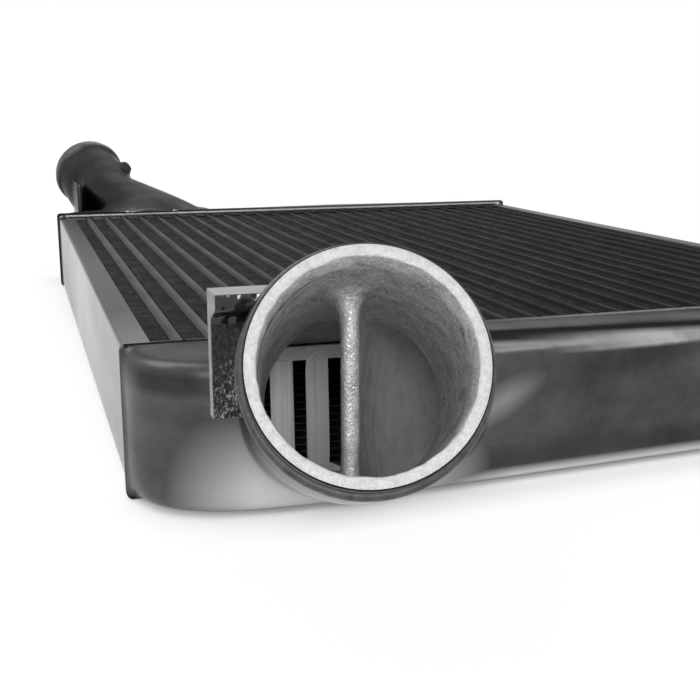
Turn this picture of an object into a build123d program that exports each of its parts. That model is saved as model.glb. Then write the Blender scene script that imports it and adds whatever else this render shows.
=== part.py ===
"""Intercooler: a bar-and-plate core between two cast end tanks, each with a
round hose neck at the same end.

Frame: X across the tubes, Y along the tubes, Z up through the core.
The origin is under the middle of the whole object, where it rests.
Lengths are millimetres. The front tank is the one at minus Y.
"""
import os
from math import cos, radians, sin

from build123d import *

os.makedirs("parts", exist_ok=True)

# Core
tube_count = 26
fin_height = 9.6
tube_height = 6.4
core_thickness = 60.0
exposed_length = 596.0
header_depth = 10.0
parting_sheet = 0.6
long_bar_width = 5.6
tube_edge_radius = 2.9
turbulator_legs = 14
turbulator_wall = 0.5
closing_bar_depth = 30.0
fin_recess = 1.2

# Side rails
rail_width = 13.5
rail_wall = 3.0
rail_end_block = 12.0
rail_edge_radius = 2.0
rail_skirt = 3.0
tongue_width = 8.0

# Tank shell
tank_wall = 4.0
rim_side_wall = 7.5
rim_lip = 5.0
lip_step = 0.8
pocket_clearance = 0.2
rim_corner_radius = 3.0
tank_depth = 48.5
tank_tip_depth = 22.0
tank_draft = 5.0
tank_bulge_length = 95.0
tank_tip_radius = 14.0
tank_top_radius = 6.0
tank_bottom_radius = 8.0

# Shoulder cut along the top front edge of the tank
shoulder_drop = 6.0
shoulder_start = 150.0
shoulder_start_depth = 19.0
shoulder_knee = 275.0
shoulder_inset = 5.0

# Hose neck
mouth_diameter = 68.0
mouth_wall = 3.8
mouth_from_end = 49.9
rear_mouth_from_end = 41.3
mouth_reach = 187.2
mouth_rise = 34.3
neck_pitch = 23.5
neck_yaw = 13.5
spigot_length = 70.0
bead_setback = 6.5
bead_width = 6.5
bead_height = 2.2
bead_edge_radius = 2.0
neck_bend_reach = 25.0
throat_from_end = 100.0
throat_bend_reach = 40.0

# Half width and half height of the neck's outside along its bend
neck_sections = (
    (0.00, mouth_diameter / 2, mouth_diameter / 2),
    (0.20, 36.0, 35.0),
    (0.45, 42.0, 38.0),
    (0.70, 52.0, 40.0),
    (0.85, 61.0, 39.5),
    (1.00, 70.0, 33.0),
)

# The same for its hollow, whose ceiling comes down to the core
hollow_sections = (
    (0.00, mouth_diameter / 2 - mouth_wall, mouth_diameter / 2 - mouth_wall),
    (0.20, 32.0, 31.0),
    (0.45, 38.0, 34.0),
    (0.70, 47.0, 34.0),
    (0.85, 56.0, 29.5),
    (1.00, 65.0, 23.0),
)

# Splitter vane
vane_thickness = 5.8
vane_shift = 1.9
vane_setback = 50.0
vane_lead = 50.0
vane_turn = 7.0
vane_tail = 76.0
vane_tail_gap = 12.0

# Hanger lug on the front neck
lug_width = 30.0
lug_web_height = 31.5
lug_web_thickness = 5.0
lug_pad_height = 6.3
lug_pad_depth = 13.0
lug_setback = 29.2
lug_reach = 37.1
lug_base_rise = -20.8

# Stiffening rib between the rear neck and its tank
rib_thickness = 5.0
rib_reach = 19.0
rib_setback = 64.0
rib_length = 75.0
rib_bottom = 52.0
rib_height = 40.0

# Round boss on the neck
boss_radius = 7.5
boss_height = 7.0
boss_setback = 46.0
boss_angle = 48.0
boss_edge_radius = 1.5

# Derived sizes
pitch = fin_height + tube_height
fin_count = tube_count + 1
block_width = fin_count * fin_height + tube_count * tube_height
core_length = exposed_length + 2 * header_depth
fin_length = core_length - 2 * closing_bar_depth
core_bottom = tank_wall
core_top = core_bottom + core_thickness
tank_height = core_thickness + 2 * tank_wall
half_block = block_width / 2
rail_outer = half_block + rail_width
tongue_outer = half_block + tongue_width
rim_half_width = tongue_outer + rim_side_wall
seam = -exposed_length / 2
header_face = seam - header_depth
core_middle = core_bottom + core_thickness / 2


def fin_left(row):
    """X of the left side of one fin pack."""
    return -half_block + row * pitch


def tube_left(row):
    """X of the left side of one tube."""
    return fin_left(row) + fin_height


def export_piece(piece, name):
    piece.part.label = name
    export_step(piece.part, f"parts/{name}.step")


# Air fin packs, one between every two tubes and one outside each end tube
with BuildPart() as fin_pattern:
    with BuildSketch(Plane.XZ.offset(-fin_length / 2)):
        with Locations((0, core_middle)):
            Rectangle(fin_height, core_thickness - 2 * fin_recess)
    extrude(amount=fin_length)

for row in range(fin_count):
    with BuildPart() as fin_pack:
        with Locations((fin_left(row) + fin_height / 2, 0, 0)):
            add(fin_pattern.part)
    export_piece(fin_pack, f"fin_pack_{row + 1:02d}")

# Charge-air tubes: two parting sheets, a rounded long bar along each edge and
# the legs of the inner fin across the passage
channel = tube_height - 2 * parting_sheet
passage_height = core_thickness - 2 * long_bar_width
leg_pitch = passage_height / (turbulator_legs + 1)
cell_height = leg_pitch - turbulator_wall

with BuildPart() as tube_pattern:
    with BuildSketch(Plane.XZ.offset(-core_length / 2)) as tube_section:
        with Locations((0, core_middle)):
            Rectangle(tube_height, core_thickness)
        fillet(tube_section.vertices(), radius=tube_edge_radius)
        with Locations((0, core_middle)):
            with GridLocations(0, leg_pitch, 1, turbulator_legs + 1):
                Rectangle(channel, cell_height, mode=Mode.SUBTRACT)
    extrude(amount=core_length)

for row in range(tube_count):
    with BuildPart() as charge_tube:
        with Locations((tube_left(row) + tube_height / 2, 0, 0)):
            add(tube_pattern.part)
    export_piece(charge_tube, f"charge_tube_{row + 1:02d}")

# Closing bars at both ends of every fin pack
for end_name, end_y in (("front", core_length / 2), ("rear", -core_length / 2 + closing_bar_depth)):
    with BuildPart() as closing_bars:
        with BuildSketch(Plane.XZ.offset(end_y)):
            with Locations((0, core_middle)):
                with GridLocations(pitch, 0, fin_count, 1):
                    Rectangle(fin_height, core_thickness)
        extrude(amount=-closing_bar_depth)
    export_piece(closing_bars, f"closing_bars_{end_name}")


# Side rails: channels that hold the outer fin packs, with a solid block at
# each end and a tongue that goes into each tank
def side_rail(side):
    """Side is -1 for the left rail and 1 for the right rail."""
    with BuildPart() as rail:
        with BuildSketch(Plane.XZ.offset(-exposed_length / 2)) as rail_section:
            with Locations((side * (half_block + rail_width / 2), core_middle - rail_skirt / 2)):
                Rectangle(rail_width, core_thickness + rail_skirt)
            fillet(rail_section.vertices().group_by(Axis.X)[-1 if side > 0 else 0],
                   radius=rail_edge_radius)
        extrude(amount=exposed_length)
        with BuildSketch(Plane.XZ.offset(-exposed_length / 2 + rail_end_block)):
            with Locations((side * (half_block + (rail_width - rail_wall) / 2), core_middle)):
                Rectangle(rail_width - rail_wall, core_thickness - 2 * rail_wall)
        extrude(amount=exposed_length - 2 * rail_end_block, mode=Mode.SUBTRACT)
        with BuildSketch(Plane.XZ.offset(-core_length / 2)):
            with Locations((side * (half_block + tongue_width / 2), core_middle)):
                Rectangle(tongue_width, core_thickness)
        extrude(amount=header_depth)
        with BuildSketch(Plane.XZ.offset(exposed_length / 2)):
            with Locations((side * (half_block + tongue_width / 2), core_middle)):
                Rectangle(tongue_width, core_thickness)
        extrude(amount=header_depth)
    return rail


export_piece(side_rail(-1), "side_rail_left")
export_piece(side_rail(1), "side_rail_right")


# Tanks. The plan of a tank runs from the seam round the rounded left end, along
# the sloping front face and round the right end back to the seam.
left_end = -rim_half_width
knee_x = left_end + tank_bulge_length
tip_x = rim_half_width - tank_tip_radius
face_slope = (tank_depth - tank_tip_depth) / (tip_x - knee_x)
shoulder_floor = tank_height - shoulder_drop
hollow_floor = core_bottom + long_bar_width / 2
hollow_height = shoulder_floor - tank_wall - hollow_floor
mouth_radius = mouth_diameter / 2
bore_radius = mouth_radius - mouth_wall
throat_heading = Vector(0.15, 0.94, -0.30).normalized()
inward = Vector(sin(radians(neck_yaw)) * cos(radians(neck_pitch)),
                cos(radians(neck_yaw)) * cos(radians(neck_pitch)),
                -sin(radians(neck_pitch)))


def face_y(x, depth_cut=0.0):
    """Y of the straight stretch of the tank's front face."""
    return seam - tank_depth + depth_cut + (x - knee_x) * face_slope


def draw_plan(inset, depth_cut):
    """Closed outline of the tank seen from above, inside a line context."""
    left = left_end + inset
    right = rim_half_width - inset
    cut = depth_cut + inset
    knee = (knee_x, face_y(knee_x, cut))
    tip = (tip_x, face_y(tip_x, cut))
    Spline((left, seam), knee, tangents=[(0, -1), (1, face_slope)])
    Line(knee, tip)
    Spline(tip, (right, seam), tangents=[(1, face_slope), (0, 1)])
    Line((right, seam), (left, seam))


def square_plane(origin, heading):
    """Plane square to a heading, its X level with the ground."""
    level = Vector(0, 0, 1).cross(heading).normalized()
    return Plane(origin=origin, x_dir=level, z_dir=heading)


def front_edges(face):
    """Edges of a flat tank face, apart from the one along the seam."""
    return face.edges().filter_by(lambda edge: (edge @ 0.5).Y < seam - 0.1)


# Closed body of the tank behind its face, without the neck
with BuildPart() as tank_body:
    with BuildSketch(Plane.XY.offset(lip_step)):
        with BuildLine():
            draw_plan(lip_step, tank_draft)
        make_face()
    with BuildSketch(Plane.XY.offset(tank_height - lip_step)):
        with BuildLine():
            draw_plan(lip_step, 0)
        make_face()
    loft(ruled=True)
    fillet(front_edges(tank_body.faces().sort_by(Axis.Z)[-1]), radius=tank_top_radius)
    fillet(front_edges(tank_body.faces().sort_by(Axis.Z)[0]), radius=tank_bottom_radius)

# The shoulder drops along the top front edge, right of the neck
shoulder_x = left_end + shoulder_start
shoulder_knee_x = left_end + shoulder_knee
beyond_x = rim_half_width + shoulder_drop
beyond_y = seam - 2 * tank_depth
with BuildPart() as shoulder_cut:
    with BuildSketch(Plane.XY.offset(shoulder_floor)):
        with BuildLine():
            Polyline((shoulder_x, seam - shoulder_start_depth),
                     (shoulder_knee_x, face_y(shoulder_knee_x, shoulder_inset)),
                     (tip_x, face_y(tip_x, shoulder_inset)),
                     (beyond_x, seam - 2 * shoulder_inset),
                     (beyond_x, beyond_y), (shoulder_x, beyond_y), close=True)
        make_face()
    extrude(amount=2 * shoulder_drop)


def neck_flare(curve, sections):
    """Loft from the round neck to the wide throat."""
    with BuildPart() as flare:
        for share, half_width, half_height in sections:
            with BuildSketch(square_plane(curve @ share, curve % share)):
                Ellipse(half_width, half_height)
        loft()
    return flare


def tank(mouth_x):
    """Tank with its neck, bead, boss, passage and vane."""
    mouth = Vector(mouth_x, seam - mouth_reach, core_top + mouth_rise)
    mouth_plane = square_plane(mouth, inward)
    spigot_end = mouth + inward * spigot_length
    throat = Vector(left_end + throat_from_end, seam - rim_lip, tank_height / 2)
    with BuildLine() as neck_line:
        Bezier(spigot_end, spigot_end + inward * neck_bend_reach,
               throat - throat_heading * throat_bend_reach, throat)
    curve = neck_line.edges()[0]
    outside = neck_flare(curve, neck_sections)
    inside = neck_flare(curve, hollow_sections)

    # Hose bead, a rounded ring behind the cut face of the mouth
    with BuildPart() as bead:
        with BuildSketch(mouth_plane.offset(bead_setback)):
            Circle(mouth_radius + bead_height)
        extrude(amount=bead_width)
        fillet(bead.edges(), radius=bead_edge_radius)

    # Boss on the side of the neck that faces the tank's long end
    turn = radians(boss_angle)
    boss_out = mouth_plane.y_dir * cos(turn) - mouth_plane.x_dir * sin(turn)
    boss_root = mouth + inward * boss_setback + boss_out * (mouth_radius - mouth_wall / 2)
    with BuildPart() as boss:
        with BuildSketch(Plane(origin=boss_root, z_dir=boss_out)):
            Circle(boss_radius)
        extrude(amount=boss_height + mouth_wall / 2)
        fillet(boss.edges().group_by(Axis(boss_root, boss_out))[-1], radius=boss_edge_radius)

    # Splitter vane: from its nose in the bore it bends away from the tank's end
    nose = mouth + inward * vane_setback + mouth_plane.x_dir * vane_shift
    tail_y = header_face - vane_tail_gap
    with BuildPart() as vane:
        with BuildSketch(Plane.XY):
            with BuildLine():
                Bezier((nose.X, nose.Y),
                       (nose.X + vane_lead * inward.X, nose.Y + vane_lead * inward.Y),
                       (throat.X + vane_turn, tail_y), (throat.X + vane_tail, tail_y))
            trace(line_width=vane_thickness)
            with Locations((nose.X, nose.Y)):
                Circle(vane_thickness / 2)
        extrude(amount=mouth.Z + mouth_diameter)

    # Passage: the bore, the flare and the hollow behind the face, round the vane,
    # with the pocket for the core at its open side
    with BuildPart() as passage:
        with BuildSketch(mouth_plane.offset(-mouth_wall)):
            Circle(bore_radius)
        extrude(amount=spigot_length + mouth_wall)
        add(inside.part)
        with BuildSketch(Plane.XY.offset(hollow_floor)):
            with BuildLine():
                draw_plan(tank_wall, tank_draft)
            make_face()
        extrude(amount=hollow_height)
        add(vane.part, mode=Mode.SUBTRACT)
        with BuildSketch(Plane.XZ.offset(-seam)):
            with Locations((0, core_middle)):
                Rectangle(2 * (tongue_outer + pocket_clearance), core_thickness + 2 * pocket_clearance)
        extrude(amount=header_depth)

    with BuildPart() as shell:
        with BuildSketch(Plane.XZ.offset(-seam)):
            with Locations((0, tank_height / 2)):
                RectangleRounded(2 * rim_half_width, tank_height, rim_corner_radius)
        extrude(amount=rim_lip)
        add(tank_body.part)
        add(shoulder_cut.part, mode=Mode.SUBTRACT)
        add(outside.part)
        with BuildSketch(Plane.XZ.offset(-seam)):
            with Locations((0, tank_height / 2)):
                Rectangle(2 * rim_half_width, 2 * tank_height)
        extrude(amount=-tank_depth, mode=Mode.SUBTRACT)
        with BuildSketch(mouth_plane):
            Circle(mouth_radius)
        extrude(amount=spigot_length)
        add(bead.part)
        add(boss.part)
    return shell, passage, mouth


# Front tank, with a hanger lug: an upright web with a thick pad along its top
front_shell, front_passage, front_mouth = tank(left_end + mouth_from_end)
lug_left = front_mouth.X - lug_reach
lug_bottom = front_mouth.Z + lug_base_rise
lug_back = front_mouth.Y + lug_setback + lug_pad_depth / 2
with BuildPart() as tank_front:
    add(front_shell.part)
    with Locations((lug_left, lug_back, lug_bottom)):
        Box(lug_width, lug_web_thickness, lug_web_height, align=(Align.MIN, Align.MAX, Align.MIN))
    with Locations((lug_left, lug_back, lug_bottom + lug_web_height)):
        Box(lug_width, lug_pad_depth, lug_pad_height, align=(Align.MIN, Align.MAX, Align.MIN))
    add(front_passage.part, mode=Mode.SUBTRACT)
export_piece(tank_front, "tank_front")

# Rear tank, the mirror image with its neck nearer the end and a rib beside it
rear_shell, rear_passage, rear_mouth = tank(left_end + rear_mouth_from_end)
with BuildPart() as rear_half:
    add(rear_shell.part)
    with Locations((rear_mouth.X - rib_reach, rear_mouth.Y + rib_setback, rib_bottom)):
        Box(rib_thickness, rib_length, rib_height, align=(Align.MIN, Align.MIN, Align.MIN))
    add(rear_passage.part, mode=Mode.SUBTRACT)
with BuildPart() as tank_rear:
    mirror(rear_half.part, about=Plane.XZ)
export_piece(tank_rear, "tank_rear")
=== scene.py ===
"""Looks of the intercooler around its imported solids, in metres.

Frame: X across the tubes, Y along the tubes, Z up. The front tank is at minus Y.
"""
from math import copysign, cos, hypot, pi, radians, sin

import bmesh
import bpy
from mathutils import Matrix, Vector, bvhtree, kdtree, noise


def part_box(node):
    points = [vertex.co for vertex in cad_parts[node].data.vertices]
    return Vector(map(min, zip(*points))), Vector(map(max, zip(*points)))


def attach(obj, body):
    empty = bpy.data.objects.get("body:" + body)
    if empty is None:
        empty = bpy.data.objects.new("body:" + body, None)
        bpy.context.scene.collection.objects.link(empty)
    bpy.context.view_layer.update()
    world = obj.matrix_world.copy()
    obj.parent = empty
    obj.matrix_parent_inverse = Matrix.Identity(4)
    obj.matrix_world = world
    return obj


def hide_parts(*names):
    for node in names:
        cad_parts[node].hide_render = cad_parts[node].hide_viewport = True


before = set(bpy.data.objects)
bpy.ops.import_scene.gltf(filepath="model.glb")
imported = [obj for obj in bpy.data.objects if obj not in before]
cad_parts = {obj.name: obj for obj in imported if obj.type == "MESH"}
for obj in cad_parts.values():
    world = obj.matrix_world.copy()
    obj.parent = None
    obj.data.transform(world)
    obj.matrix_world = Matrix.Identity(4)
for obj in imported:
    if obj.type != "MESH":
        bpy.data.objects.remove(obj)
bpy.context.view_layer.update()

FIN_ROWS = 27
TUBE_ROWS = 26

# Camera of the photograph: angles in radians, lens in millimetres
CAMERA_PLACE = Vector((-0.26647, -0.75356, 0.16593))
CAMERA_YAW = 0.2994
CAMERA_PITCH = 0.2219
CAMERA_ROLL = 0.0031
CAMERA_LENS = 55.68
CAMERA_NEAR = 0.01
CAMERA_FAR = 50

# Neck: middle of the mouth, heading and radii
MOUTH_FRONT = Vector((-0.1784, -0.4852, 0.0983))
MOUTH_REAR = Vector((-0.1870, 0.4852, 0.0983))
NECK_YAW = radians(13.5)
NECK_PITCH = radians(23.5)
MOUTH_RADIUS = 0.034
BORE_RADIUS = 0.0302
BORE_LENGTH = 0.072
BORE_SKIN = 0.001

# Tanks and core
SEAM = 0.298
HEADER = 0.300  # bars beyond this distance along Y end inside the tanks
RIM_TOP = 0.068
SQUARE = 0.9  # share of a normal along an axis, from which a face counts as square to it

# Section of the turned mouth, in depths behind its cut face
BEAD_START = 0.0065
BEAD_WIDTH = 0.0065
BEAD_HEIGHT = 0.0022
BEAD_ROUND = 0.0020
BEAD_STEPS = 6
BEAD_FOOT = 0.0004
BEAD_HEEL = 0.0006
BORE_CHAMFER = 0.0004
MOUTH_CHAMFER = 0.0005
MOUTH_DEPTH = 0.0145
MOUTH_CLEAR = 0.0028
MOUTH_STEPS = 144
SKIRT_LENGTH = 0.004
SKIRT_SINK = 0.0008
BORE_LINER = 0.046
LINER_SKIN = 0.0012

# Uneven inner edge of the cut face
BORE_UNEVEN = 0.00035
UNEVEN_DEPTH = 0.02
UNEVEN_WAVES = 9
CUT_DEPTH = 0.00035

# Ceiling's edge over the long bars, where the neck opens into the tank
LIP_MIDDLE = -0.128
LIP_HALF = 0.060
LIP_LOW = 0.0583
LIP_HIGH = 0.0642
LIP_BACK = 0.3083
LIP_FRONT = 0.3104

# Nose of the splitter vane
VANE_SHIFT = 0.0019
VANE_HALF = 0.0042
VANE_RADIUS = 0.0272
VANE_END = 0.085

# Flowing casting: cell of its mesh, and how far its inner corners are blended
CELL = 0.0017
WELD_DISTANCE = 0.00002
CREASE_ANGLE = radians(20)
CREASE_STEP = 0.002
CREASE_REACH = 0.016
CREASE_FULL = 1.6
CREASE_FACTOR = 0.5
CREASE_ROUNDS = 60
RIM_KEEP = 0.009
RIM_FADE = 0.010
RING_END = 0.016

# Skins of the charge-air tubes
TUBE_SKIN = 0.0003
TUBE_LIP = 0.004

# Rim of a tank
RIM_DEPTH = 0.005
RIM_SKIN = 0.0016
RIM_TUCK = 0.0002
RIM_PROUD = 0.00008
RIM_ROUND = 0.003
RIM_CHAMFER = 0.0006
RIM_SIDE = 0.3  # share of a normal along X, from which a face of the rim looks sideways

# Filler along the seam between a rim and the core
FILLER_RADIUS = 0.0009
FILLER_INSET = 0.6
FILLER_STEP = 0.003
FILLER_SIDES = 8
FILLER_UNEVEN = 0.45
FILLER_WAVES = 150
FILLER_SHIFT = 3.0

# Lug on the front neck
LUG_LEFT = -0.2155
LUG_WIDTH = 0.030
LUG_BOTTOM = 0.0775
LUG_TOP = 0.1153
LUG_BACK = -0.4495
LUG_WEB = 0.0050
LUG_PAD = 0.0130
LUG_SUNK = 0.0020
LUG_STEPS = 20
LUG_TRIM = 0.0002
LUG_EDGE = 0.0003
LUG_SKIN = 0.0008
LUG_CLEAR = 0.0020
LUG_FACING = 0.75

# Front face of the lug's pad and the roll of metal below it
PAD_FACE = 0.0030
PAD_ROUND = 0.0022
ROLL_DROP = 0.0098
ROLL_ROUND = 0.0030
ROLL_STEPS = 4
ROLL_SHADE = 0.0100
ROLL_START = 0.001
ROLL_CLEAR = 0.0110

# Rib beside the rear neck
RIB_LOW = Vector((-0.2061, 0.3561, 0.0521))
RIB_HIGH = Vector((-0.2009, 0.4213, 0.0921))
RIB_CORNER = 0.012
RIB_EDGE = 0.0005

# Sight of the sky, which tells the hollow's faces from the outside; tilts in degrees
SKY_RINGS = 2
SKY_TILT = 25
SKY_TILT_STEP = 35
SKY_TURNS = 6
SKY_REACH = 0.6
SKY_CELL = 0.004
SKY_INSIDE = 0.1
SKY_OFFSET = 0.003

# Folded fins
FIN_PITCH = 0.0032
FIN_SHEET = 0.0002
FIN_FLAT = 0.35

# Usual low and high values of a noise
NOISE_LOW = 0.3
NOISE_HIGH = 0.7

# Where a casting gets painted highlights or painted shade: (start, end) of a ramp, (low, high,
# soft) of a band
EDGE_HEIGHT = (0.0045, 0.0095)
EDGE_ACROSS = (-0.13, -0.06)
SHELF_HEIGHT = (0.0598, 0.0632, 0.0022)
SHELF_FACING = (0.15, 0.5)
SHOULDER_ACROSS = (-0.055, 0.05)
UNDER_HEIGHT = (0.004, 0.050)
UNDER_ACROSS = (-0.180, -0.110, 0.04)
WALL_HEIGHT = (0.0636, 0.0664, 0.0006)
WALL_ACROSS = (-0.12, -0.09)
SOLE_HEIGHT = (0.011, 0.015, 0.006)
SOLE_ACROSS = (-0.12, -0.08)
CORNER_SHADE_HEIGHT = (0.055, 0.060, 0.004)
CORNER_SHADE_ACROSS = (-0.221, -0.202, 0.014)
REAR_ALONG = (0.30, 0.33)
GROUND_SHADE_HEIGHT = (0.0012, 0.0032)
TOP_SHADE_HEIGHT = (0.0640, 0.0660)

# How dark the painted shade is
SOLE_SHADE = 0.45
CORNER_SHADE_STRENGTH = 0.6
REAR_SHADE = 0.55

# Painted highlight streak beside the neck: where it starts and ends along X, its slope, width and
# strength
STREAK_FOOT = -0.108
STREAK_END = -0.066
STREAK_FADE = 0.025
STREAK_RISE = 0.024
STREAK_SLOPE = 0.42
STREAK_HALF = 0.001
STREAK_SOFT = 0.013
STREAK_SHARE = 0.32

# Depth of the hollow, as a distance from the middle along Y, and how much painted light makes it
# paler there
DEEP_ALONG = (0.365, 0.430)
DEEP_PAINTED_LIGHT = 0.7

# Corner of the lug's web with bright specks
SPECK_SLANT = 0.9
SPECK_ACROSS = (-0.290, -0.268)

# Painted light and painted shade of the other metals across and along the object
LIP_ACROSS = (-0.12, 0.0)
RAIL_ALONG = (-0.30, -0.20)
RAIL_FACING = (0.4, 0.9)
RIDGE_ACROSS = (-0.21, -0.02)
RIDGE_GLOSS_ACROSS = (-0.20, -0.04)
LEG_HEIGHT = (0.02, 0.046)

# Studio: floor, backdrop and how the shadow fades beside the core
WHITE = (1, 1, 1, 1)
COOL = 1.01  # blue of a grey, as a share of its red and green
FLOOR = 12.0
FLOOR_COLOUR = (0.95, 0.95, 0.95, 1)
FLOOR_ROUGH = 0.9
SKY_LEVEL = 0.9
SHADOW_REACH = 0.9
SHADOW_FADE = 1.4
SHADOW_LIFT = 0.10
SHADOW_LIFT_FAR = 0.93
SHADOW_WIDTH = 0.030
FOOT_SIDE = 0.223
FOOT_END = 0.327
FOOT_SLOPE = 0.0725

# Lamps: name, place, target, size and power
LAMPS = (
    ("top_left", (-1.1, 0.2, 1.5), (0, 0, 0), (1.2, 1.4), 9),
    ("front", (-0.44, -1.43, 0.46), (-0.15, -0.35, 0.05), (0.4, 0.3), 9),
    ("back", (0.4, 1.7, 1.3), (0, 0, 0), (1.6, 0.9), 4),
)


def inward(mirrored):
    """Heading from a mouth into its neck."""
    level = cos(NECK_PITCH)
    along = cos(NECK_YAW) * level
    return Vector((sin(NECK_YAW) * level, -along if mirrored else along, -sin(NECK_PITCH)))


def reach_of(spot, mouth, heading):
    """Depth of a point behind the mouth, along the neck."""
    return (spot - mouth).dot(heading)


def off_axis_of(spot, mouth, heading):
    """Distance of a point from the neck's axis."""
    return (spot - mouth).cross(heading).length


def mouth_frame(heading):
    """Level direction and up direction square to the neck."""
    level = Vector((0, 0, 1)).cross(heading).normalized()
    return level, heading.cross(level)


def grey(level):
    """Colour of a grey, a touch cool."""
    return (level, level, level * COOL, 1.0)


class Tree:
    """Short way to wire the nodes of a material or a world."""

    def __init__(self, tree):
        self.tree = tree

    def add(self, kind, **settings):
        node = self.tree.nodes.new(kind)
        for key, value in settings.items():
            setattr(node, key, value)
        return node

    def link(self, start, end):
        self.tree.links.new(start, end)

    def ramp(self, value, low, high, to_low=0.0, to_high=1.0):
        node = self.add("ShaderNodeMapRange")
        node.inputs["From Min"].default_value = low
        node.inputs["From Max"].default_value = high
        node.inputs["To Min"].default_value = to_low
        node.inputs["To Max"].default_value = to_high
        self.link(value, node.inputs["Value"])
        return node.outputs["Result"]

    def math(self, operation, first, second=0.0):
        node = self.add("ShaderNodeMath", operation=operation)
        for socket, value in zip(node.inputs, (first, second)):
            if isinstance(value, (int, float)):
                socket.default_value = value
            else:
                self.link(value, socket)
        return node.outputs["Value"]

    def plus(self, first, second):
        return self.math("ADD", first, second)

    def minus(self, first, second):
        return self.math("SUBTRACT", first, second)

    def size_of(self, value):
        return self.math("ABSOLUTE", value)

    def times(self, product, *others):
        for other in others:
            product = self.math("MULTIPLY", product, other)
        return product

    def most(self, largest, *others):
        for other in others:
            largest = self.math("MAXIMUM", largest, other)
        return largest

    def mix(self, share, first, second):
        """Shader between two others."""
        node = self.add("ShaderNodeMixShader")
        self.link(share, node.inputs["Fac"])
        self.link(first, node.inputs[1])
        self.link(second, node.inputs[2])
        return node.outputs["Shader"]


class Skin(Tree):
    """Material around the principled shader."""

    def __init__(self, name):
        self.material = bpy.data.materials.new(name)
        self.material.use_nodes = True
        super().__init__(self.material.node_tree)
        self.shader = self.tree.nodes["Principled BSDF"]
        self.place = self.add("ShaderNodeTexCoord").outputs["Object"]

    def axes(self):
        """X, Y and Z of the object coordinates."""
        node = self.add("ShaderNodeSeparateXYZ")
        self.link(self.place, node.inputs["Vector"])
        return node.outputs["X"], node.outputs["Y"], node.outputs["Z"]

    def upward(self):
        """How far the surface faces up."""
        shape = self.add("ShaderNodeNewGeometry")
        node = self.add("ShaderNodeSeparateXYZ")
        self.link(shape.outputs["Normal"], node.inputs["Vector"])
        return node.outputs["Z"]

    def noise(self, scale, detail, rough, stretch=(1, 1, 1)):
        """Noise in object coordinates, which are scaled per axis."""
        mapping = self.add("ShaderNodeMapping")
        mapping.inputs["Scale"].default_value = stretch
        self.link(self.place, mapping.inputs["Vector"])
        node = self.add("ShaderNodeTexNoise")
        node.inputs["Scale"].default_value = scale
        node.inputs["Detail"].default_value = detail
        node.inputs["Roughness"].default_value = rough
        self.link(mapping.outputs["Vector"], node.inputs["Vector"])
        return node.outputs["Fac"]

    def spread(self, pattern, to_low=0.0, to_high=1.0):
        """A noise's usual range, brought to another one."""
        return self.ramp(pattern, NOISE_LOW, NOISE_HIGH, to_low, to_high)

    def band(self, value, low, high, soft):
        """1 between low and high, falling to 0 over a soft edge."""
        rise = self.ramp(value, low - soft, low)
        fall = self.ramp(value, high, high + soft, 1.0, 0.0)
        return self.times(rise, fall)

    def shade(self, value, dark, light):
        """Colour between two greys."""
        node = self.add("ShaderNodeMix", data_type="RGBA")
        node.inputs["A"].default_value = grey(dark)
        node.inputs["B"].default_value = grey(light)
        self.link(value, node.inputs["Factor"])
        self.drive("Base Color", node.outputs["Result"])

    def drive(self, socket, value):
        self.link(value, self.shader.inputs[socket])

    def roughen(self, pattern, to_low, to_high):
        """Roughness that follows a noise."""
        self.drive("Roughness", self.spread(pattern, to_low, to_high))

    def bump(self, height, depth, normal=None):
        node = self.add("ShaderNodeBump")
        node.inputs["Strength"].default_value = 1.0
        node.inputs["Distance"].default_value = depth
        self.link(height, node.inputs["Height"])
        if normal is not None:
            self.link(normal, node.inputs["Normal"])
        return node.outputs["Normal"]

    def finish(self, normal, metal=1.0):
        self.drive("Normal", normal)
        self.shader.inputs["Metallic"].default_value = metal
        return self.material


def painted_highlights(m, x, z):
    """Where the casting gets painted highlights: its lower edge, its shoulder, a streak beside the
    neck and under the neck.
    """
    streaks = m.noise(scale=60, detail=4, rough=0.6, stretch=(1, 1, 0.12))
    highlight_breakup = m.ramp(streaks, 0.3, 0.6, 0.55, 1.0)
    edge = m.times(m.ramp(z, *EDGE_HEIGHT, 1.0, 0.0), m.ramp(x, *EDGE_ACROSS))
    shelf = m.times(m.band(z, *SHELF_HEIGHT), m.ramp(m.upward(), *SHELF_FACING, 0.45, 1.0))
    shoulder = m.times(shelf, m.ramp(x, *SHOULDER_ACROSS), highlight_breakup)
    under = m.times(m.ramp(z, *UNDER_HEIGHT, 1.0, 0.0), m.band(x, *UNDER_ACROSS))
    rise = m.plus(m.times(m.minus(x, STREAK_FOOT), STREAK_SLOPE), STREAK_RISE)
    beside = m.band(m.minus(z, rise), -STREAK_HALF, STREAK_HALF, STREAK_SOFT)
    streak = m.times(beside, m.band(x, STREAK_FOOT, STREAK_END, STREAK_FADE), STREAK_SHARE)
    return m.most(edge, shoulder, streak, under)


def painted_shade(m, x, y, z):
    """Where the casting gets painted shade: under its rim, at its foot, at its corner, and at the
    rear.
    """
    wall = m.times(m.band(z, *WALL_HEIGHT), m.ramp(x, *WALL_ACROSS))
    sole = m.times(m.band(z, *SOLE_HEIGHT), m.ramp(x, *SOLE_ACROSS, 0.0, SOLE_SHADE))
    corner_shade = m.times(m.band(z, *CORNER_SHADE_HEIGHT), m.band(x, *CORNER_SHADE_ACROSS), CORNER_SHADE_STRENGTH)
    rear = m.times(m.ramp(y, *REAR_ALONG), REAR_SHADE)
    return m.most(wall, corner_shade, sole, rear)


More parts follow.
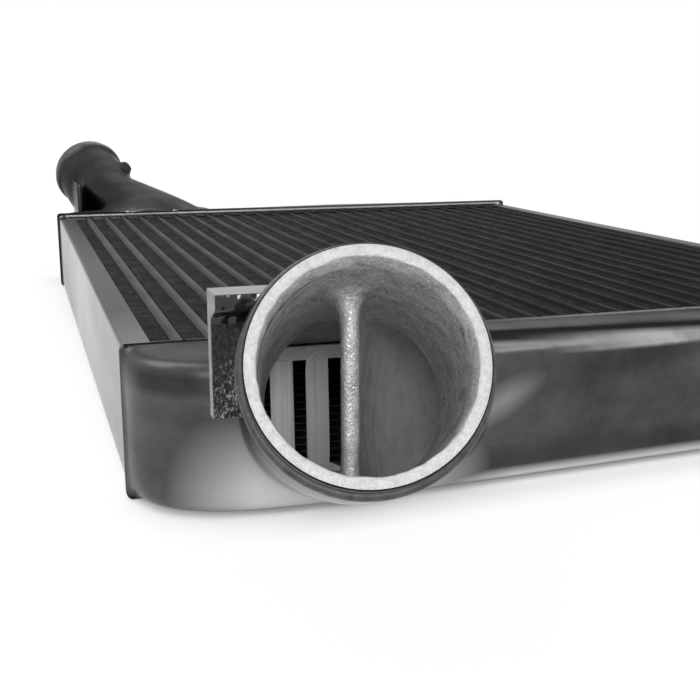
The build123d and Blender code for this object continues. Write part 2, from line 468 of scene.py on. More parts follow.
def cast_outside():
    """Brushed and tumbled outside of a casting: cloudy gloss and long soft streaks, under painted
    highlights and painted shade.
    """
    m = Skin("cast_outside")
    x, y, z = m.axes()
    clouds = m.noise(scale=16, detail=6, rough=0.65)
    streaks = m.noise(scale=9, detail=3, rough=0.5, stretch=(1, 1, 7))
    grain = m.noise(scale=900, detail=3, rough=0.6)
    waves = m.noise(scale=14, detail=3, rough=0.5)
    both = m.plus(m.times(clouds, 0.75), m.times(streaks, 0.25))
    base = m.ramp(both, 0.38, 0.64, 0.035, 0.14)
    tone = m.most(m.times(base, m.minus(1.0, painted_shade(m, x, y, z))), painted_highlights(m, x, z))
    # painted shade: a dark line where the casting meets the ground
    m.shade(m.times(tone, m.ramp(z, *GROUND_SHADE_HEIGHT)), dark=0.02, light=0.66)
    m.roughen(both, 0.38, 0.24)
    # painted shade: weaker reflections on the top of the tank
    m.drive("Specular Tint", m.ramp(z, *TOP_SHADE_HEIGHT, 1.0, 0.5))
    return m.finish(m.bump(grain, 0.00004, m.bump(waves, 0.0014)))


def gritty(name, dark, light):
    """As-cast skin: dull, pitted, with bright specks, and painted light that makes it paler deep in
    the hollow.
    """
    m = Skin(name)
    grit = m.noise(scale=1000, detail=2, rough=0.7)
    lumps = m.noise(scale=150, detail=5, rough=0.7)
    specks = m.ramp(grit, 0.56, 0.63)
    cloudy = m.times(m.ramp(lumps, 0.35, 0.65), 0.6)
    # painted light: paler deep in the hollow
    deep = m.ramp(m.size_of(m.axes()[1]), *DEEP_ALONG, DEEP_PAINTED_LIGHT, 0.0)
    m.shade(m.most(m.plus(cloudy, deep), specks), dark, light)
    m.drive("Roughness", m.ramp(grit, 0.3, 0.65, 0.75, 0.3))
    return m.finish(m.bump(grit, 0.0005, m.bump(lumps, 0.0010)), metal=0.35)


def lug_web():
    """Rough dark web of the lug, with bright specks toward its lower right."""
    m = Skin("lug_web")
    grit = m.noise(scale=900, detail=4, rough=0.8, stretch=(1, 1, 0.6))
    x, _, z = m.axes()
    # bright specks gathered toward the lower right of the web
    speck_corner = m.ramp(m.minus(m.times(x, SPECK_SLANT), z), *SPECK_ACROSS)
    bright_dots = m.times(speck_corner, m.ramp(grit, 0.50, 0.66))
    m.shade(m.most(bright_dots, m.ramp(grit, 0.35, 0.75, 0.0, 0.10)), dark=0.02, light=0.62)
    m.roughen(grit, 0.42, 0.26)
    return m.finish(m.bump(grit, 0.0009))


def lug_roll_painted_dark():
    """Glossy roll of metal under the lug's pad, near black as painted shade."""
    m = Skin("lug_roll_painted_dark")
    lumps = m.noise(scale=170, detail=1, rough=0.5)
    m.shade(m.spread(lumps), dark=0.003, light=0.010)
    m.roughen(lumps, 0.20, 0.12)
    return m.finish(m.bump(lumps, 0.0030), metal=0.0)


def lug_pad():
    """Smooth sawn top of the lug."""
    m = Skin("lug_pad")
    marks = m.noise(scale=90, detail=3, rough=0.6)
    m.shade(m.spread(marks), dark=0.16, light=0.24)
    m.roughen(marks, 0.5, 0.42)
    return m.finish(m.bump(marks, 0.00002))


def sawn(name, dark, light):
    """Sawn or turned metal with fine marks."""
    m = Skin(name)
    marks = m.noise(scale=300, detail=4, rough=0.7)
    m.shade(m.spread(marks), dark, light)
    m.roughen(marks, 0.5, 0.36)
    return m.finish(m.bump(marks, 0.00008))


def rim_lip():
    """Edge of a tank's rim, with painted shade on the side of the necks."""
    m = Skin("rim_lip")
    marks = m.noise(scale=300, detail=4, rough=0.7)
    x = m.axes()[0]
    painted_light_share = m.ramp(x, *LIP_ACROSS, 0.1, 1.0)
    m.shade(m.times(m.spread(marks, 0.6, 1.0), painted_light_share), dark=0.01, light=0.10)
    m.drive("Specular Tint", m.ramp(x, *LIP_ACROSS, 0.35, 0.9))
    m.roughen(marks, 0.5, 0.36)
    return m.finish(m.bump(marks, 0.00008))


def seam_filler():
    """Dark uneven bead along the seam between a tank and the core."""
    m = Skin("seam_filler")
    lumps = m.noise(scale=260, detail=4, rough=0.7)
    m.shade(m.spread(lumps), dark=0.008, light=0.04)
    m.shader.inputs["Roughness"].default_value = 0.55
    return m.finish(m.bump(lumps, 0.0008), metal=0.4)


def cut_face():
    """Freshly cut metal of the mouth: pale and sparkling."""
    m = Skin("cut_face")
    sparks = m.noise(scale=1600, detail=3, rough=0.8)
    marks = m.noise(scale=500, detail=5, rough=0.7)
    m.shade(m.ramp(m.plus(sparks, marks), 0.75, 1.25), dark=0.36, light=0.54)
    m.roughen(marks, 0.62, 0.42)
    return m.finish(m.bump(sparks, 0.0004, m.bump(marks, 0.0003)), metal=0.3)


def rail_sheet():
    """Smooth bright sheet of the side rails, with painted shade on its top that gives way to
    painted light near the front tank.
    """
    m = Skin("rail_sheet")
    clouds = m.noise(scale=12, detail=4, rough=0.55, stretch=(1, 0.35, 1))
    lines = m.noise(scale=500, detail=3, rough=0.6, stretch=(1, 0.03, 1))
    flat = m.ramp(m.upward(), *RAIL_FACING)
    side = m.ramp(clouds, 0.35, 0.65, 0.75, 1.0)
    # painted light on the top near the front tank, painted shade further back
    top = m.times(m.ramp(m.axes()[1], *RAIL_ALONG, 0.55, 0.03), side)
    m.shade(m.plus(m.times(flat, top), m.times(m.minus(1.0, flat), side)), dark=0.05, light=0.38)
    # painted shade: weaker reflections on the top
    m.drive("Specular Tint", m.ramp(flat, 0.0, 1.0, 1.0, 0.66))
    m.roughen(clouds, 0.40, 0.26)
    return m.finish(m.bump(lines, 0.00003))


def tube_edge():
    """Rounded edges of the charge-air tubes: drawn lines, dull patches, painted shade to the right.
    """
    m = Skin("tube_edge")
    lines = m.noise(scale=700, detail=3, rough=0.6, stretch=(1, 0.02, 1))
    patches = m.noise(scale=45, detail=4, rough=0.6, stretch=(1, 0.4, 1))
    x = m.axes()[0]
    painted_light_share = m.ramp(x, *RIDGE_ACROSS, 1.0, 0.25)
    m.shade(m.times(painted_light_share, m.spread(patches, 0.75, 1.0)), dark=0.004, light=0.046)
    # painted shade: weaker reflections to the right
    m.drive("Specular Tint", m.ramp(x, *RIDGE_GLOSS_ACROSS, 0.78, 0.54))
    m.roughen(patches, 0.55, 0.42)
    return m.finish(m.bump(lines, 0.00008))


def fin_sheet():
    """Dark folded fin sheet."""
    m = Skin("fin_sheet")
    patches = m.noise(scale=120, detail=4, rough=0.6)
    m.shade(m.spread(patches), dark=0.02, light=0.05)
    m.roughen(patches, 0.6, 0.45)
    return m.finish(m.bump(patches, 0.0002))


def inner_fin():
    """Legs of the inner fin: black in the shade of the tank, grey lower down."""
    m = Skin("inner_fin")
    patches = m.noise(scale=260, detail=3, rough=0.6)
    painted_light_share = m.ramp(m.axes()[2], *LEG_HEIGHT, 1.0, 0.1)
    m.shade(m.times(painted_light_share, m.spread(patches, 0.5, 1.0)), dark=0.004, light=0.16)
    m.roughen(patches, 0.6, 0.45)
    return m.finish(m.bump(patches, 0.0002))


def closing_bar():
    """Drawn bar with upright lines on its end face, painted bright as painted light inside the
    tank.
    """
    m = Skin("closing_bar")
    lines = m.noise(scale=420, detail=3, rough=0.5, stretch=(1, 1, 0.02))
    m.shade(m.spread(lines), dark=0.72, light=1.0)
    m.roughen(lines, 0.42, 0.32)
    return m.finish(m.bump(lines, 0.0002), metal=0.1)


def add_object(name, data):
    obj = bpy.data.objects.new(name, data)
    bpy.context.scene.collection.objects.link(obj)
    return obj


def mesh_object(name, vertices, faces, material, smooth=False):
    """Object of one material from points and faces."""
    mesh = bpy.data.meshes.new(name)
    mesh.from_pydata(vertices, [], faces)
    mesh.materials.append(material)
    mesh.polygons.foreach_set("use_smooth", [smooth] * len(mesh.polygons))
    return add_object(name, mesh)


def give_materials(mesh, materials):
    mesh.materials.clear()
    for material in materials:
        mesh.materials.append(material)


def face_outward(obj):
    """Turn every face of a closed mesh outward."""
    work = bmesh.new()
    work.from_mesh(obj.data)
    bmesh.ops.recalc_face_normals(work, faces=work.faces)
    work.to_mesh(obj.data)
    work.free()


def apply_modifiers(obj):
    """Replace an object's mesh with its modified form."""
    graph = bpy.context.evaluated_depsgraph_get()
    mesh = bpy.data.meshes.new_from_object(obj.evaluated_get(graph))
    obj.modifiers.clear()
    obj.data = mesh


def arc_points(middle, radius, start, end, steps):
    """Points of an arc in a plane; angles in degrees."""
    points = []
    for i in range(steps + 1):
        angle = radians(start + (end - start) * i / steps)
        points.append((middle[0] + radius * cos(angle), middle[1] + radius * sin(angle)))
    return points


def rounded_box(half_x, low_z, high_z, radius, steps=8):
    """Corner-rounded rectangle as (x, z) points, going round once."""
    points = []
    middle_z = (low_z + high_z) / 2
    half_z = (high_z - low_z) / 2
    for quarter, (sx, sz) in enumerate(((1, 1), (-1, 1), (-1, -1), (1, -1))):
        for step in range(steps + 1):
            angle = pi / 2 * (quarter + step / steps)
            x = sx * (half_x - radius) + radius * cos(angle)
            z = middle_z + sz * (half_z - radius) + radius * sin(angle)
            points.append((x, z))
    return points


def swept(name, outlines, material, smooth=False):
    """Skin over closed outlines of equal length, joined round in order."""
    count = len(outlines[0])
    vertices = [point for outline in outlines for point in outline]
    faces = []
    for k in range(len(outlines)):
        here, there = k * count, (k + 1) % len(outlines) * count
        for i in range(count):
            j = (i + 1) % count
            faces.append((here + i, here + j, there + j, there + i))
    obj = mesh_object(name, vertices, faces, material, smooth)
    face_outward(obj)
    return obj


def fold_line(left, right, front, back):
    """Points of the fin's fold seen from above."""
    points = []
    folds = int((back - front) / FIN_PITCH)
    step = (back - front) / folds
    for fold in range(folds):
        start = front + fold * step
        points.append((left, start))
        points.append((left, start + FIN_FLAT * step / 2))
        points.append((right, start + step / 2))
        points.append((right, start + (1 + FIN_FLAT) * step / 2))
    points.append((left, back))
    return points


def fin_mesh(low, high):
    """Vertices and faces of a thin folded sheet that fills a box between two tubes."""
    line = fold_line(low.x + FIN_SHEET, high.x - FIN_SHEET, low.y + FIN_SHEET, high.y - FIN_SHEET)
    vertices = []
    for x, y in line:
        for side in (-0.5, 0.5):
            for z in (low.z, high.z):
                vertices.append((x, y + side * FIN_SHEET, z))
    faces = []
    for i in range(len(line) - 1):
        a = 4 * i
        b = a + 4
        faces += [(a, b, b + 1, a + 1), (a + 2, a + 3, b + 3, b + 2)]
        faces += [(a + 1, b + 1, b + 3, a + 3), (a, a + 2, b + 2, b)]
    last = 4 * (len(line) - 1)
    faces += [(0, 1, 3, 2), (last, last + 2, last + 3, last + 1)]
    return vertices, faces


def build_fins(material):
    """A thin folded sheet in place of every fin block."""
    for row in range(1, FIN_ROWS + 1):
        node = f"fin_pack_{row:02d}"
        low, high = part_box(node)
        vertices, faces = fin_mesh(low, high)
        fin = mesh_object(f"folded_fin_{row:02d}", vertices, faces, material)
        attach(fin, "root")
        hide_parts(node)


def dress_tube(node, dull, bright, legs):
    """Dull outside, sheet ends in the bright bar skin as painted light, and dark legs in the
    passages.
    """
    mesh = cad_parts[node].data
    give_materials(mesh, (dull, bright, legs))
    low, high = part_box(node)
    middle = (low.x + high.x) / 2
    reach = (high.x - low.x) / 2 - TUBE_SKIN
    for face in mesh.polygons:
        between = low.z + TUBE_LIP < face.center.z < high.z - TUBE_LIP
        if between and abs(face.center.x - middle) < reach:
            face.material_index = 2
        elif abs(face.normal.y) > SQUARE:
            face.material_index = 1


def dress_bars(node, bright, dull):
    """Drawn ends inside the tank in the bright bar skin as painted light, dull where the bars meet
    the air.
    """
    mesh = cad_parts[node].data
    give_materials(mesh, (bright, dull))
    for face in mesh.polygons:
        in_tank = abs(face.center.y) > HEADER
        face.material_index = 0 if in_tank and abs(face.normal.y) > SQUARE else 1


def crease_points(mesh, mouth, heading):
    """Points along the inner corners of a casting's outside, where metal would flow round."""
    work = bmesh.new()
    work.from_mesh(mesh)
    bmesh.ops.remove_doubles(work, verts=work.verts, dist=WELD_DISTANCE)
    points = []
    for edge in work.edges:
        if len(edge.link_faces) != 2 or edge.calc_face_angle_signed(0) > -CREASE_ANGLE:
            continue
        start, end = edge.verts[0].co, edge.verts[1].co
        middle = (start + end) / 2
        if abs(middle.y) < SEAM + RIM_KEEP or reach_of(middle, mouth, heading) < RING_END:
            continue
        count = max(1, int((end - start).length / CREASE_STEP))
        points += [start.lerp(end, (i + 0.5) / count) for i in range(count)]
    work.free()
    return points


def nearness(mesh, points):
    """For each vertex, 1 on a crease and 0 beyond the reach."""
    tree = kdtree.KDTree(len(points))
    for i, point in enumerate(points):
        tree.insert(point, i)
    tree.balance()
    return [max(0.0, 1 - tree.find(vertex.co)[2] / CREASE_REACH) for vertex in mesh.vertices]


def smooth_creases(obj, points):
    """Blend the inner corners, except close to the rim."""
    group = obj.vertex_groups.new(name="crease")
    for index, weight in enumerate(nearness(obj.data, points)):
        from_rim = abs(obj.data.vertices[index].co.y) - SEAM - RIM_DEPTH
        weight *= min(1.0, max(0.0, from_rim / RIM_FADE))
        if weight > 0:
            group.add([index], min(1.0, CREASE_FULL * weight), "REPLACE")
    smoother = obj.modifiers.new("blend", "SMOOTH")
    smoother.factor = CREASE_FACTOR
    smoother.iterations = CREASE_ROUNDS
    smoother.vertex_group = "crease"
    apply_modifiers(obj)


def tuck_under_rim(mesh, half_x):
    """Draw the flowing skin slightly in where the crisp rim covers it."""
    for vertex in mesh.vertices:
        spot = vertex.co
        if abs(spot.y) < SEAM + RIM_DEPTH:
            spot.x = max(-half_x, min(half_x, spot.x))
            spot.z = max(RIM_TUCK, spot.z)


def flowing_tank(name, node, mouth, heading):
    """Copy of a tank's solid with an even mesh and blended inner corners."""
    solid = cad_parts[node].data
    obj = add_object(name, solid.copy())
    remesh = obj.modifiers.new("cells", "REMESH")
    remesh.mode = "VOXEL"
    remesh.voxel_size = CELL
    apply_modifiers(obj)
    smooth_creases(obj, crease_points(solid, mouth, heading))
    tuck_under_rim(obj.data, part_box(node)[1].x - RIM_TUCK)
    return obj


def sky_view(tree, place, normal):
    """Share of directions over a face that look out of the object."""
    level = normal.orthogonal().normalized()
    other = normal.cross(level)
    open_count = 0
    for ring in range(SKY_RINGS):
        tilt = radians(SKY_TILT + SKY_TILT_STEP * ring)
        for turn in range(SKY_TURNS):
            angle = 2 * pi * (turn + 0.5 * ring) / SKY_TURNS
            ray = normal * cos(tilt) + (level * cos(angle) + other * sin(angle)) * sin(tilt)
            if tree.ray_cast(place + normal * SKY_OFFSET, ray, SKY_REACH)[0] is None:
                open_count += 1
    return open_count / (SKY_RINGS * SKY_TURNS)


def beside_rib(spot):
    """Whether a point lies in the dark corner between the rib and the neck."""
    return all(RIB_LOW[i] - RIB_CORNER < spot[i] < RIB_HIGH[i] + RIB_CORNER for i in range(3))


def in_hollow(spot, normal, mouth, heading, tree):
    """Whether a face belongs to the inside of a casting."""
    in_depth = 0 < reach_of(spot, mouth, heading) < BORE_LENGTH
    if in_depth and off_axis_of(spot, mouth, heading) < BORE_RADIUS + BORE_SKIN:
        return True
    return not beside_rib(spot) and sky_view(tree, spot, normal) < SKY_INSIDE


def on_vane(spot, mouth, heading, level):
    """Whether a point lies on the nose of the splitter vane."""
    across = abs(abs((spot - mouth).dot(level)) - VANE_SHIFT)
    in_depth = reach_of(spot, mouth, heading) < VANE_END
    return across < VANE_HALF and in_depth and off_axis_of(spot, mouth, heading) < VANE_RADIUS


def mark_inside(mesh, mouth, heading, tree):
    """Give the hollow the as-cast material, index 1, and the vane's nose its paler copy with
    painted light, index 2.
    """
    level = mouth_frame(heading)[0]
    inside = {}
    for face in mesh.polygons:
        spot = face.center
        key = tuple(int(c / SKY_CELL) for c in spot) + tuple(round(c) for c in face.normal)
        if key not in inside:
            inside[key] = in_hollow(spot, face.normal, mouth, heading, tree)
        if inside[key]:
            face.material_index = 2 if on_vane(spot, mouth, heading, level) else 1
        else:
            face.material_index = 0


def by_lug(spot, heading, clear):
    """Whether a point is within the lug's width and clear of the neck."""
    across = LUG_LEFT - CELL < spot.x < LUG_LEFT + LUG_WIDTH
    return across and off_axis_of(spot, MOUTH_FRONT, heading) > MOUTH_RADIUS + clear


def under_pad(spot, heading):
    """Whether a point lies in the roll of metal between the lug's web and pad."""
    in_front = spot.y < LUG_BACK - LUG_WEB - LUG_SKIN
    return in_front and spot.z > LUG_TOP - ROLL_CLEAR and by_lug(spot, heading, LUG_SKIN)


def mark_web(mesh, heading):
    """Give the flowing foot of the lug's web its rough dark material, index 3."""
    for face in mesh.polygons:
        spot = face.center
        along = LUG_BACK - LUG_PAD < spot.y < LUG_BACK - LUG_WEB + LUG_SKIN
        if along and LUG_BOTTOM < spot.z < LUG_TOP and by_lug(spot, heading, LUG_SKIN):
            face.material_index = 3


def sink_lug(mesh, heading):
    """Lower the flowing skin below the lug's crisp top."""
    for vertex in mesh.vertices:
        spot = vertex.co
        along = LUG_BACK - LUG_PAD - CELL < spot.y < LUG_BACK + CELL
        if along and abs(spot.z - LUG_TOP) < LUG_SKIN and by_lug(spot, heading, LUG_CLEAR):
            spot.z = LUG_TOP - LUG_SKIN


def trim(mesh, mouth, heading, with_lug):
    """Cut the flowing skin away where the turned mouth and the crisp lug take over."""
    work = bmesh.new()
    work.from_mesh(mesh)
    covered = []
    for vertex in work.verts:
        spot = vertex.co
        near_axis = off_axis_of(spot, mouth, heading) < MOUTH_RADIUS + MOUTH_CLEAR
        in_mouth = near_axis and reach_of(spot, mouth, heading) < MOUTH_DEPTH - CELL
        if in_mouth or with_lug and under_pad(spot, heading):
            covered.append(vertex)
    bmesh.ops.delete(work, geom=covered, context="VERTS")
    work.to_mesh(mesh)
    work.free()


def mouth_profile():
    """Section of the mouth as (depth, radius): bore, cut face, outside, ring and skirt."""
    crest = MOUTH_RADIUS + BEAD_HEIGHT
    first, last = BEAD_START, BEAD_START + BEAD_WIDTH
    profile = [(BORE_LINER, BORE_RADIUS), (BORE_CHAMFER, BORE_RADIUS)]
    profile += [(0.0, BORE_RADIUS + BORE_CHAMFER), (0.0, MOUTH_RADIUS - MOUTH_CHAMFER)]
    profile += [(MOUTH_CHAMFER, MOUTH_RADIUS), (first - BEAD_FOOT, MOUTH_RADIUS)]
    profile += arc_points((first + BEAD_ROUND, crest - BEAD_ROUND), BEAD_ROUND, 180, 90, BEAD_STEPS)
    profile += arc_points((last - BEAD_ROUND, crest - BEAD_ROUND), BEAD_ROUND, 90, 0, BEAD_STEPS)
    profile += [(last + BEAD_HEEL, MOUTH_RADIUS), (MOUTH_DEPTH, MOUTH_RADIUS)]
    profile += [(MOUTH_DEPTH + SKIRT_LENGTH, MOUTH_RADIUS - SKIRT_SINK)]
    profile += [(BORE_LINER, BORE_RADIUS + LINER_SKIN)]
    return profile


def turned_mouth(name, mouth, heading, skins):
    """Mouth turned round the neck's axis, with an uneven inner edge."""
    level, up = mouth_frame(heading)
    outlines = []
    for step in range(MOUTH_STEPS):
        angle = 2 * pi * step / MOUTH_STEPS
        spoke = level * cos(angle) + up * sin(angle)
        wave = BORE_UNEVEN * noise.noise(spoke * UNEVEN_WAVES + heading)
        outline = []
        for depth, radius in mouth_profile():
            uneven = wave if radius < BORE_RADIUS + BORE_SKIN and depth < UNEVEN_DEPTH else 0.0
            outline.append(mouth + heading * depth + spoke * (radius + uneven))
        outlines.append(outline)
    ring = swept(name, outlines, skins["spigot"], smooth=True)
    give_materials(ring.data, [skins[kind] for kind in ("spigot", "bore", "cut", "edge")])
    for face in ring.data.polygons:
        off_axis = off_axis_of(face.center, mouth, heading)
        if reach_of(face.center, mouth, heading) < CUT_DEPTH:
            # the outer chamfer takes the near-black skin, a painted dark line
            face.material_index = 3 if off_axis > MOUTH_RADIUS - CUT_DEPTH else 2
        elif off_axis < BORE_RADIUS + BORE_UNEVEN:
            face.material_index = 1
    return ring


def casting(name, node, mouth, mirrored, tree, skins):
    """Tank as one flowing casting with a turned mouth."""
    heading = inward(mirrored)
    body = flowing_tank(name, node, mouth, heading)
    mesh = body.data
    give_materials(mesh, [skins[kind] for kind in ("outside", "bore", "nose", "web")])
    mark_inside(mesh, mouth, heading, tree)
    if not mirrored:
        mark_web(mesh, heading)
        sink_lug(mesh, heading)
    mesh.polygons.foreach_set("use_smooth", [True] * len(mesh.polygons))
    trim(mesh, mouth, heading, with_lug=not mirrored)
    ring = turned_mouth(name + "_mouth", mouth, heading, skins)
    for piece in (body, ring):
        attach(piece, "root")
        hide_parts(node)


def header_lip(name, side, material):
    """Edge of the tank's ceiling over the long bars of the tubes."""
    left, right = LIP_MIDDLE - LIP_HALF, LIP_MIDDLE + LIP_HALF
    outline = [(left, LIP_LOW), (right, LIP_LOW), (right, LIP_HIGH), (left, LIP_HIGH)]
    vertices = [(x, side * y, z) for y in (LIP_BACK, LIP_FRONT) for x, z in outline]
    faces = [(0, 1, 2, 3), (7, 6, 5, 4), (0, 4, 5, 1), (1, 5, 6, 2), (2, 6, 7, 3), (3, 7, 4, 0)]
    piece = mesh_object(name, vertices, faces, material)
    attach(piece, "root")


def rib(material):
    """Crisp stiffening rib beside the rear neck."""
    work = bmesh.new()
    bmesh.ops.create_cube(work, size=1.0)
    bmesh.ops.scale(work, vec=RIB_HIGH - RIB_LOW, verts=work.verts)
    bmesh.ops.translate(work, vec=(RIB_HIGH + RIB_LOW) / 2, verts=work.verts)
    bmesh.ops.bevel(work, geom=work.edges, offset=RIB_EDGE, segments=2, affect="EDGES")
    mesh = bpy.data.meshes.new("neck_rib")
    work.to_mesh(mesh)
    work.free()
    mesh.materials.append(material)
    obj = add_object("neck_rib", mesh)
    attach(obj, "root")


def lug_profile():
    """(y, z) corners of the lug's section, going round from the top front."""
    low, bottom = LUG_BACK - LUG_WEB, LUG_BOTTOM
    front, top = LUG_BACK - LUG_PAD, LUG_TOP
    points = [(front, top)]
    points += arc_points((front + PAD_ROUND, top - PAD_FACE), PAD_ROUND, 180, 230, ROLL_STEPS)
    points += arc_points((low - ROLL_ROUND, top - ROLL_DROP), ROLL_ROUND, 70, 0, ROLL_STEPS)
    rise = points[-1][1] - bottom
    points += [(low, bottom + rise * (1 - i / LUG_STEPS)) for i in range(1, LUG_STEPS + 1)]
    points += [(LUG_BACK, bottom + (top - bottom) * i / LUG_STEPS) for i in range(LUG_STEPS + 1)]
    return points


def lug_end(y, z, heading):
    """X at which a long edge of the lug ends inside the neck's wall."""
    x = LUG_LEFT + LUG_WIDTH
    while x > LUG_LEFT:
        if off_axis_of(Vector((x, y, z)), MOUTH_FRONT, heading) >= MOUTH_RADIUS - LUG_SUNK:
            break
        x -= LUG_TRIM
    return x


def lug(heading, web, pad, side, roll):
    """Crisp hanger lug: web, pad and the roll between them."""
    profile = lug_profile()
    count = len(profile)
    vertices = [(LUG_LEFT, y, z) for y, z in profile]
    vertices += [(lug_end(y, z, heading), y, z) for y, z in profile]
    faces = [tuple(range(count)), tuple(range(2 * count - 1, count - 1, -1))]
    faces += [(i, i + count, (i + 1) % count + count, (i + 1) % count) for i in range(count)]
    obj = mesh_object("hanger_lug", vertices, faces, web)
    face_outward(obj)
    give_materials(obj.data, (web, pad, side, roll))
    for face in obj.data.polygons:
        if face.normal.z > LUG_FACING:
            face.material_index = 1
        elif face.normal.x < -LUG_FACING:
            face.material_index = 2
        elif face.center.z > LUG_TOP - ROLL_SHADE and face.center.y < LUG_BACK - ROLL_START:
            face.material_index = 3
            face.use_smooth = True
    edges = obj.modifiers.new("edges", "BEVEL")
    edges.width = LUG_EDGE
    edges.segments = 2
    apply_modifiers(obj)
    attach(obj, "root")


def rim(name, node, side, material, shade):
    """Crisp raised rim round the open side of a tank; side is -1 in front and 1 behind."""
    half_x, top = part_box(node)[1].x, RIM_TOP + RIM_PROUD
    section = [(0.0, RIM_CHAMFER), (RIM_CHAMFER, 0.0), (RIM_DEPTH - RIM_CHAMFER, 0.0)]
    section += [(RIM_DEPTH, RIM_CHAMFER), (RIM_DEPTH, RIM_SKIN), (0.0, RIM_SKIN)]
    outlines = []
    for depth, inset in section:
        ring = rounded_box(half_x - inset, inset, top - inset, RIM_ROUND - min(inset, RIM_CHAMFER))
        outlines.append([(x, side * (SEAM + depth), z) for x, z in ring])
    piece = swept(name, outlines, material)
    piece.data.materials.append(shade)
    for face in piece.data.polygons:
        if abs(face.normal.x) > RIM_SIDE:
            face.material_index = 1
    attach(piece, "root")


def divided(path):
    """Points of a closed path in the X and Z plane, at even short steps."""
    points = []
    for i, (x0, z0) in enumerate(path):
        x1, z1 = path[(i + 1) % len(path)]
        count = max(1, int(hypot(x1 - x0, z1 - z0) / FILLER_STEP))
        points += [(x0 + (x1 - x0) * k / count, z0 + (z1 - z0) * k / count) for k in range(count)]
    return points


def away_from_core(x, z, half_x):
    """Level or upright direction out of the core, whichever side is nearer."""
    across, rise = x / half_x, (z - RIM_TOP / 2) / (RIM_TOP / 2)
    if abs(across) > abs(rise):
        return Vector((copysign(1, across), 0, 0))
    return Vector((0, 0, copysign(1, rise)))


def seam_bead(name, side, material):
    """Uneven filler in the corner between a rim and the core."""
    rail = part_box("side_rail_left")[0]
    core_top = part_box("closing_bars_front")[1].z
    path = divided(rounded_box(-rail.x, rail.z + FILLER_RADIUS, core_top, RIM_ROUND / 2, 4))
    outlines = []
    for turn in range(FILLER_SIDES):
        angle = 2 * pi * turn / FILLER_SIDES
        outline = []
        for x, z in path:
            lump = noise.noise(Vector((x * FILLER_WAVES, side * FILLER_SHIFT, z * FILLER_WAVES)))
            reach = FILLER_RADIUS * (1 + FILLER_UNEVEN * lump)
            spot = Vector((x, side * (SEAM - FILLER_RADIUS * FILLER_INSET), z))
            spot += away_from_core(x, z, -rail.x) * reach * cos(angle)
            spot.y += reach * sin(angle)
            spot.z = max(spot.z, 0.0)
            outline.append(tuple(spot))
        outlines.append(outline)
    bead = swept(name, outlines, material, smooth=True)
    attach(bead, "root")


def solid_tree():
    """All solids as one tree for tracing rays."""
    vertices, faces = [], []
    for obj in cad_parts.values():
        start = len(vertices)
        vertices += [v.co.copy() for v in obj.data.vertices]
        faces += [tuple(start + i for i in face.vertices) for face in obj.data.polygons]
    return bvhtree.BVHTree.FromPolygons(vertices, faces)


def dress_core():
    """Materials of the tubes, closing bars and rails."""
    tube, bar, legs, rail = tube_edge(), closing_bar(), inner_fin(), rail_sheet()
    for row in range(1, TUBE_ROWS + 1):
        dress_tube(f"charge_tube_{row:02d}", tube, bar, legs)
    for end in ("front", "rear"):
        dress_bars(f"closing_bars_{end}", bar, tube)
    for side in ("left", "right"):
        give_materials(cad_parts[f"side_rail_{side}"].data, (rail,))


def dress_tanks():
    """Castings, their crisp parts and the filler along their seams."""
    skins = {
        "outside": cast_outside(),
        "bore": gritty("cast_bore", 0.21, 0.68),
        # paler copy of the bore skin: painted light on the vane's nose and on the ceiling's edge
        "nose": gritty("vane_nose_painted_bright", 0.32, 0.80),
        "web": lug_web(),
        "cut": cut_face(),
        "spigot": sawn("spigot", 0.06, 0.12),
        # near-black copy of the turned metal: a painted dark line on the mouth's outer chamfer
        "edge": sawn("mouth_edge_painted_dark", 0.01, 0.03),
    }
    tree = solid_tree()
    casting("front_casting", "tank_front", MOUTH_FRONT, False, tree, skins)
    casting("rear_casting", "tank_rear", MOUTH_REAR, True, tree, skins)
    lug(inward(False), skins["web"], lug_pad(), sawn("lug_side", 0.16, 0.3), lug_roll_painted_dark())
    filler, lip = seam_filler(), rim_lip()
    for end, side in (("front", -1), ("rear", 1)):
        # the front rim's sideways faces take the dark filler as painted shade; the rear rim keeps
        # its lip
        rim(end + "_rim", "tank_" + end, side, lip, filler if side < 0 else lip)
        seam_bead(end + "_seam_bead", side, filler)
        # the ceiling's edge takes the paler nose skin, as painted light
        header_lip(end + "_header_lip", side, skins["nose"])
    rib(skins["outside"])


def beside_core(m):
    """Share of white on the floor, growing with the distance from the core and the tanks."""
    x, y, _ = m.axes()
    past_side = m.minus(m.size_of(x), FOOT_SIDE)
    past_end = m.minus(m.size_of(y), m.minus(FOOT_END, m.times(x, FOOT_SLOPE)))
    return m.ramp(m.most(past_side, past_end), 0.0, SHADOW_WIDTH, SHADOW_LIFT, SHADOW_LIFT_FAR)


def pale_floor():
    """Diffuse near the object, where its shadow falls, and plain white far from it."""
    m = Skin("pale_floor")
    m.shader.inputs["Base Color"].default_value = FLOOR_COLOUR
    m.shader.inputs["Roughness"].default_value = FLOOR_ROUGH
    m.shader.inputs["Specular IOR Level"].default_value = 0.0
    distance = m.add("ShaderNodeVectorMath", operation="LENGTH")
    m.link(m.place, distance.inputs[0])
    far = m.ramp(distance.outputs["Value"], SHADOW_REACH, SHADOW_FADE * SHADOW_REACH)
    rays = m.add("ShaderNodeLightPath")
    seen = m.most(rays.outputs["Is Camera Ray"], rays.outputs["Is Glossy Ray"])
    white = m.add("ShaderNodeEmission")
    white.inputs["Color"].default_value = WHITE
    share = m.most(far, m.times(seen, beside_core(m)))
    surface = m.mix(share, m.shader.outputs["BSDF"], white.outputs["Emission"])
    m.link(surface, m.tree.nodes["Material Output"].inputs["Surface"])
    return m.material


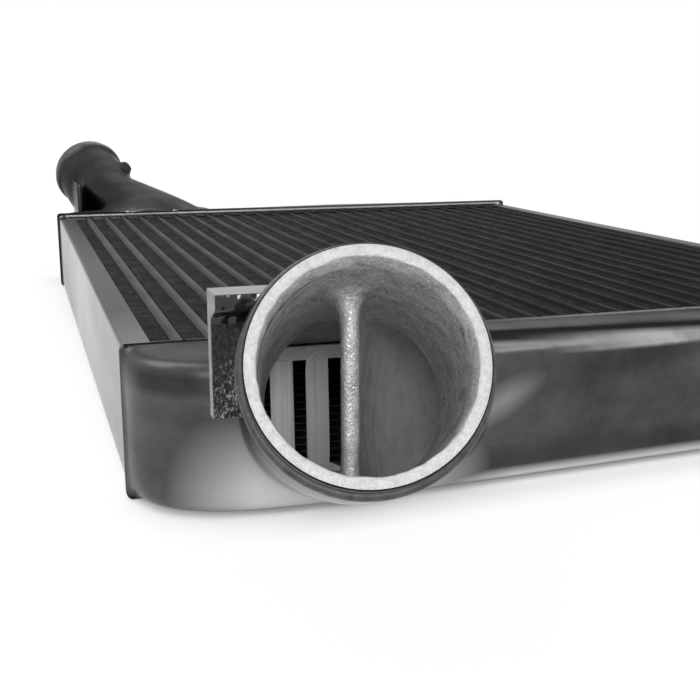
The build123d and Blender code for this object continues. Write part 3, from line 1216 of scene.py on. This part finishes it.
def backdrop():
    """World that is plain white to the eye and in reflections, and soft light for the rest."""
    world = bpy.data.worlds.new("studio")
    world.use_nodes = True
    t = Tree(world.node_tree)
    sky = t.tree.nodes["Background"]
    sky.inputs["Color"].default_value = WHITE
    sky.inputs["Strength"].default_value = SKY_LEVEL
    white = t.add("ShaderNodeBackground")
    white.inputs["Color"].default_value = WHITE
    rays = t.add("ShaderNodeLightPath").outputs
    seen = t.most(rays["Is Camera Ray"], rays["Is Glossy Ray"], rays["Is Transmission Ray"])
    surface = t.mix(seen, sky.outputs["Background"], white.outputs["Background"])
    t.link(surface, t.tree.nodes["World Output"].inputs["Surface"])
    bpy.context.scene.world = world


def area_light(name, place, target, size, power):
    """Rectangular lamp aimed at a target."""
    light = bpy.data.lights.new(name, "AREA")
    light.shape = "RECTANGLE"
    light.size, light.size_y = size
    light.energy = power
    obj = add_object(name, light)
    obj.location = place
    obj.rotation_euler = (Vector(target) - Vector(place)).to_track_quat("-Z", "Y").to_euler()


def studio():
    """Pale floor, white backdrop and soft lamps."""
    corners = [(-FLOOR, -FLOOR, 0), (FLOOR, -FLOOR, 0), (FLOOR, FLOOR, 0), (-FLOOR, FLOOR, 0)]
    floor = mesh_object("studio_floor", corners, [(0, 1, 2, 3)], pale_floor())
    backdrop()
    for name, place, target, size, power in LAMPS:
        area_light(name, place, target, size, power)
    bpy.context.scene.view_settings.view_transform = "Standard"


def point_camera():
    """Camera that was fitted to the photograph."""
    camera = bpy.data.cameras.new("photo_camera")
    camera.lens = CAMERA_LENS
    camera.clip_start = CAMERA_NEAR
    camera.clip_end = CAMERA_FAR
    obj = add_object("photo_camera", camera)
    ahead = cos(CAMERA_PITCH)
    forward = Vector((sin(CAMERA_YAW) * ahead, cos(CAMERA_YAW) * ahead, -sin(CAMERA_PITCH)))
    right = Vector((cos(CAMERA_YAW), -sin(CAMERA_YAW), 0))
    down = forward.cross(right)
    tilted_right = right * cos(CAMERA_ROLL) + down * sin(CAMERA_ROLL)
    tilted_down = down * cos(CAMERA_ROLL) - right * sin(CAMERA_ROLL)
    turn = Matrix((tilted_right, -tilted_down, -forward)).transposed()
    obj.matrix_world = Matrix.Translation(CAMERA_PLACE) @ turn.to_4x4()
    bpy.context.scene.camera = obj


dress_core()
dress_tanks()
build_fins(fin_sheet())
studio()
point_camera()
